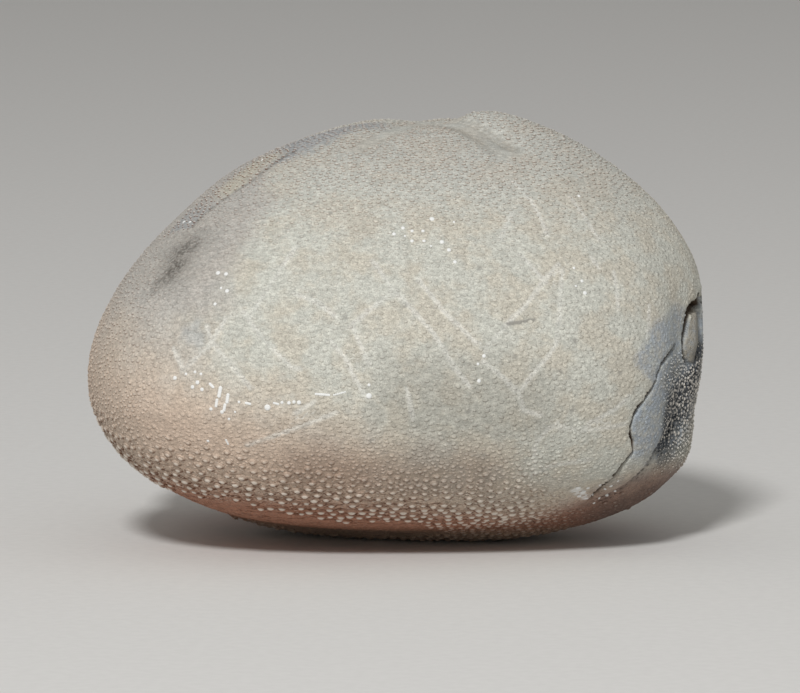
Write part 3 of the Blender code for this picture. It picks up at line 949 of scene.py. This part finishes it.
def inBand(points):
    # the naked bands of the underside, on both sides of its knobbly field
    half = bandLook["fieldHalf"] + bandLook["fieldWidening"] * smooth(-8.0, 18.0, points[:, 0])
    top = bandLook["top"] + bandLook["frontRise"] * smooth(-3.0, -16.0, points[:, 0])
    low = smooth(9.0, 2.0, points[:, 0]) * top
    low += bandLook["ragged"] * swell(points, 1.4, 9.0)
    return (points[:, 2] < low) & (np.abs(sideways(points)) > half)


def evenPoints(piece, tree, look, spacing, share=None):
    # spreads points over the stone, then lets near ones push each other apart
    dice = np.random.default_rng(look["seed"])
    mesh = piece.data
    mesh.calc_loop_triangles()
    corners = np.empty(len(mesh.loop_triangles) * 3, np.int32)
    mesh.loop_triangles.foreach_get("vertices", corners)
    corners = pointsOf(piece)[corners.reshape(-1, 3)]
    area = np.linalg.norm(np.cross(corners[:, 1] - corners[:, 0], corners[:, 2] - corners[:, 0]), axis=1) / 2
    wanted = area / (0.866 * spacing(corners.mean(1)) ** 2 * look["wide"])
    if share is not None:
        wanted *= share(corners.mean(1))
    total = np.cumsum(wanted)
    count = int(total[-1])
    chosen = np.searchsorted(total, (np.arange(count) + dice.random(count)) * total[-1] / count)
    chosen = np.minimum(chosen, len(area) - 1)
    a, b = dice.random((2, count, 1))
    flip = a + b > 1
    a, b = np.where(flip, 1 - a, a), np.where(flip, 1 - b, b)
    points = corners[chosen, 0] * (1 - a - b) + corners[chosen, 1] * a + corners[chosen, 2] * b
    squeeze = np.array([1 / look["wide"], 1.0, 1.0])
    for _ in range(look["rounds"]):
        near = KDTree(len(points))
        squeezed = points * squeeze
        for index, point in enumerate(squeezed):
            near.insert(point, index)
        near.balance()
        found = np.array([[hit[1] for hit in near.find_n(point, 7)] for point in squeezed])
        away = squeezed[:, None] - squeezed[found[:, 1:]]
        far = np.linalg.norm(away, axis=2, keepdims=True) + 1e-6
        room = spacing(points)[:, None, None] * 1.05
        points = points + (away / far * np.clip(room - far, 0, None)).sum(1) * 0.35 / squeeze
        points = np.array([tuple(tree.find_nearest(Vector(point))[0]) for point in points])
    normals = np.array([tuple(tree.find_nearest(Vector(point))[1]) for point in points])
    return points, normals


def knobShape(sides, steps, crown):
    # one knob of radius 1 and height 1, with its foot sunk in the stone
    bpy.ops.object.select_all(action="DESELECT")
    bpy.ops.mesh.primitive_cylinder_add(vertices=sides, radius=1.0, depth=0.5, location=(0, 0, -0.25))
    knob = bpy.context.active_object
    tops = np.array([face.normal.z > 0.9 for face in knob.data.polygons])
    editFaces(knob, tops)
    for inset, rise in steps:
        bpy.ops.mesh.inset(thickness=inset)
        bpy.ops.transform.translate(value=(0, 0, rise))
    bpy.ops.mesh.poke(offset=crown)
    bpy.ops.object.mode_set(mode="OBJECT")
    mesh = knob.data
    points = np.array([vertex.co for vertex in mesh.vertices])
    points[:, 2] /= points[:, 2].max()
    faces = [tuple(face.vertices) for face in mesh.polygons]
    bpy.data.objects.remove(knob)
    return points, faces


def stamped(name, shape, places, normals, radii, heights, turns, wide, looks):
    # one joined mesh with a copy of the shape at each place, drawn out along the test
    points, faces = shape
    helper = np.where(np.abs(normals[:, 2:]) > 0.9, (0.0, 1.0, 0.0), (0.0, 0.0, 1.0))
    first = np.cross(helper, normals)
    first /= np.linalg.norm(first, axis=1, keepdims=True)
    second = np.cross(normals, first)
    c, s = np.cos(turns)[:, None], np.sin(turns)[:, None]
    first, second = first * c + second * s, second * c - first * s
    under = -points[None, :, 0] * first[:, 2:] - points[None, :, 1] * second[:, 2:]
    under = under / (np.hypot(first[:, 2:], second[:, 2:]) * np.hypot(points[:, 0], points[:, 1]) + 0.05)
    first, second = first * (radii * wide)[:, None], second * radii[:, None]
    copies = places[:, None] + points[None, :, :1] * first[:, None] + points[None, :, 1:2] * second[:, None]
    copies = copies + points[None, :, 2:] * (normals * heights[:, None])[:, None]
    copies[..., 2] = np.maximum(copies[..., 2], 0.0)
    count = len(points)
    polygons = []
    for start in range(0, count * len(places), count):
        polygons += [tuple(start + index for index in face) for face in faces]
    mesh = bpy.data.meshes.new(name)
    mesh.from_pydata((copies.reshape(-1, 3) * mm).tolist(), [], polygons)
    piece = bpy.data.objects.new(name, mesh)
    bpy.context.scene.collection.objects.link(piece)
    mesh.polygons.foreach_set("use_smooth", np.ones(len(mesh.polygons), bool))
    note(piece, "tip", np.tile(np.clip(points[:, 2], 0, 1), len(places)))
    note(piece, "under", (under * 0.5 + 0.5).ravel())
    sutureGap, sutureFar, _, _ = fromLines(places, sutures)
    note(piece, "sutureGap", np.repeat(sutureGap, count, axis=0))
    note(piece, "sutureFar", np.repeat(sutureFar, count))
    looks = {"worn": 0.0, "foot": 0.0, "pale": 0.3, "granular": granular(places), **looks}
    looks["behindCrack"] = crackRelief(places, normals)[2]
    looks["crease"] = fromLines(places, [creaseLine])[1]
    looks["rim"] = rimRelief(places, normals)[1]
    for look, values in looks.items():
        note(piece, look, np.repeat(np.broadcast_to(values, len(places)), count))
    mesh.materials.append(knobFinish)
    print(name, len(places), "copies,", sum(len(face) - 2 for face in faces) * len(places), "triangles")
    return piece


def onSurface(tree, points, normals):
    hits = [tree.ray_cast(Vector(point + normal * 1.5), Vector(-normal), 3.0)[0]
            for point, normal in zip(points, normals)]
    return np.array([tuple(hit) if hit is not None else point for hit, point in zip(hits, points)])


def growKnobs(tree):
    # large knobs along the lower margin
    dice = np.random.default_rng(knobLook["seed"])
    points, normals = evenPoints(body, bodyTree, knobLook, knobSpacing, knobShare)
    kept = ~bareness(points) & ~inBand(points) & (knobSize(points) > 0.10 + 0.25 * dice.random(len(points)))
    kept &= dice.random(len(points)) > knobLook["missing"]
    points, normals = onSurface(tree, points[kept], normals[kept]), normals[kept]
    size = knobSize(points) * dice.uniform(0.55, 1.1, len(points))
    least, most = knobLook["radius"]
    radii = least + (most - least) * size
    least, most = knobLook["height"]
    heights = least + (most - least) * size
    turns = dice.normal(0, 0.3, len(points))
    shape = knobShape(*knobLook["shape"])
    pieces = []
    for name, part in {"knobs_near": points[:, 1] < 0, "knobs_far": points[:, 1] >= 0}.items():
        lowness = knobSize(points[part]) ** 2
        looks = {"foot": 0.45 + 0.55 * lowness, "pale": 0.15 + 0.65 * lowness}
        pieces.append(stamped(name, shape, points[part], normals[part], radii[part], heights[part],
                              turns[part], knobLook["wide"], looks))
    return pieces, points, radii


def growGrains(tree, knobs, knobRadii):
    # fine grains over all the rest
    dice = np.random.default_rng(grainLook["seed"])
    points, normals = evenPoints(body, bodyTree, grainLook, grainSpacing)
    taken = KDTree(len(knobs))
    for index, knob in enumerate(knobs):
        taken.insert(knob, index)
    taken.balance()
    nearest = [taken.find(point)[1:] for point in points]
    clear = np.array([far > knobRadii[index] * 0.85 + 0.10 for index, far in nearest])
    kept = clear & ~bareness(points)
    points, normals = onSurface(tree, points[kept], normals[kept]), normals[kept]
    count = len(points)
    x, _, z = points.T
    tall = np.maximum(smooth(27.0, 37.0, z), 0.8 * smooth(15.0, 8.0, z) * smooth(22.0, 14.0, x))
    tall = np.maximum(tall, smooth(-17.0, -25.0, x))
    beyond = rimRelief(points, normals)[1]
    tall = np.maximum(tall, 1.5 * (beyond > 0.1) * (beyond < 4.5)) * np.where(inBand(points), 0.3, 1.0)
    radii = grainLook["radius"] * dice.uniform(0.6, 1.3, count)
    least, most = grainLook["height"]
    heights = (least + (most - least) * tall) * dice.uniform(0.5, 1.2, count)
    turns = dice.normal(0, 0.25, count)
    foot, pale = 0.12 + 0.40 * tall, 0.06 + 0.22 * tall
    shape = knobShape(*grainLook["shape"])
    near, front = points[:, 1] < 0, points[:, 0] < 0
    groups = {"grains_front_near": near & front, "grains_rear_near": near & ~front,
              "grains_front_far": ~near & front, "grains_rear_far": ~near & ~front}
    return [stamped(name, shape, points[part], normals[part], radii[part], heights[part], turns[part],
                    grainLook["wide"], {"foot": foot[part], "pale": pale[part]})
            for name, part in groups.items()]


def addGranules(tree):
    # the coarse grains of the rear face
    dice = np.random.default_rng(granuleLook["seed"])
    points, normals = evenPoints(body, bodyTree, granuleLook, granuleSpacing, granular)
    kept = (ventReach(points) > 1.0) & (granular(points) > 0.1)
    points, normals = onSurface(tree, points[kept], normals[kept]), normals[kept]
    count = len(points)
    grown = 0.5 + 0.5 * smooth(0.0, 4.0, grainField(points))
    return stamped("rear_granules", knobShape(*granuleLook["shape"]), points, normals,
                   granuleLook["radius"] * grown * dice.uniform(0.55, 1.3, count),
                   granuleLook["height"] * grown * dice.uniform(0.5, 1.4, count),
                   dice.uniform(0, math.tau, count), granuleLook["wide"],
                   {"pale": dice.uniform(0.2, 1.0, count)})


def addSpecks(tree):
    # knobs worn down to clean white calcite
    dice = np.random.default_rng(speckLook["seed"])
    specks = list(photoSpecks)
    for start, end, radius in photoStreaks:
        count = 2 + int(math.dist(start, end) / 2)
        specks += [(*np.array(start) * (1 - share) + np.array(end) * share, radius)
                   for share in np.linspace(0, 1, count)]
    places = [atPixel(tree, across, down) for across, down, _ in specks]
    normals = np.array([tuple(tree.find_nearest(Vector(place))[1]) for place in places])
    radii = np.array([radius for _, _, radius in specks]) * pixelWide
    return stamped("worn_specks", knobShape(*speckLook["shape"]), np.array(places), normals, radii,
                   radii * speckLook["height"], dice.uniform(0, math.tau, len(radii)), 1.0,
                   {"worn": speckLook["worn"]})


finishedTree = treeOf(body)
knobPieces, knobPlaces, knobRadii = growKnobs(finishedTree)
knobPieces += growGrains(finishedTree, knobPlaces, knobRadii)
knobPieces += [addGranules(finishedTree), addSpecks(finishedTree)]
print("knobs grown")


# Frame, light and floor

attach(body, "root")
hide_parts("urchin_test")
for piece in knobPieces:
    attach(piece, "root")

stageLook = {
    "floorReach": 4.0,
    "keyTurn": -4,  # degrees to the right of straight in front
    "keyRise": 37,
    "keyDistance": 1.4,
    "keySize": 0.22,
    "keyPower": 13.7,
    "world": 0.34,
    "worldTone": (1.0, 0.99, 0.97, 1.0),
}


def addStage():
    bpy.ops.object.select_all(action="DESELECT")
    bpy.ops.mesh.primitive_plane_add(size=2 * stageLook["floorReach"], location=(0, 0, -0.00002))
    floor = bpy.context.active_object
    floor.name = "floor"
    floor.data.materials.append(floorMaterial())
    side, up = math.radians(stageLook["keyTurn"]), math.radians(stageLook["keyRise"])
    way = Vector((math.sin(side) * math.cos(up), -math.cos(side) * math.cos(up), math.sin(up)))
    light = bpy.data.lights.new("key", "AREA")
    light.shape = "DISK"
    light.size = stageLook["keySize"]
    light.energy = stageLook["keyPower"]
    lamp = bpy.data.objects.new("key", light)
    lamp.location = way * stageLook["keyDistance"] + Vector((0, 0, 0.02))
    lamp.rotation_mode = "QUATERNION"
    lamp.rotation_quaternion = way.to_track_quat("Z", "Y")
    bpy.context.scene.collection.objects.link(lamp)
    world = bpy.data.worlds.new("soft_room")
    world.use_nodes = True
    world.node_tree.nodes["Background"].inputs[0].default_value = stageLook["worldTone"]
    world.node_tree.nodes["Background"].inputs[1].default_value = stageLook["world"]
    bpy.context.scene.world = world
    bpy.context.scene.view_settings.view_transform = "Standard"


addStage()
print("stage set")
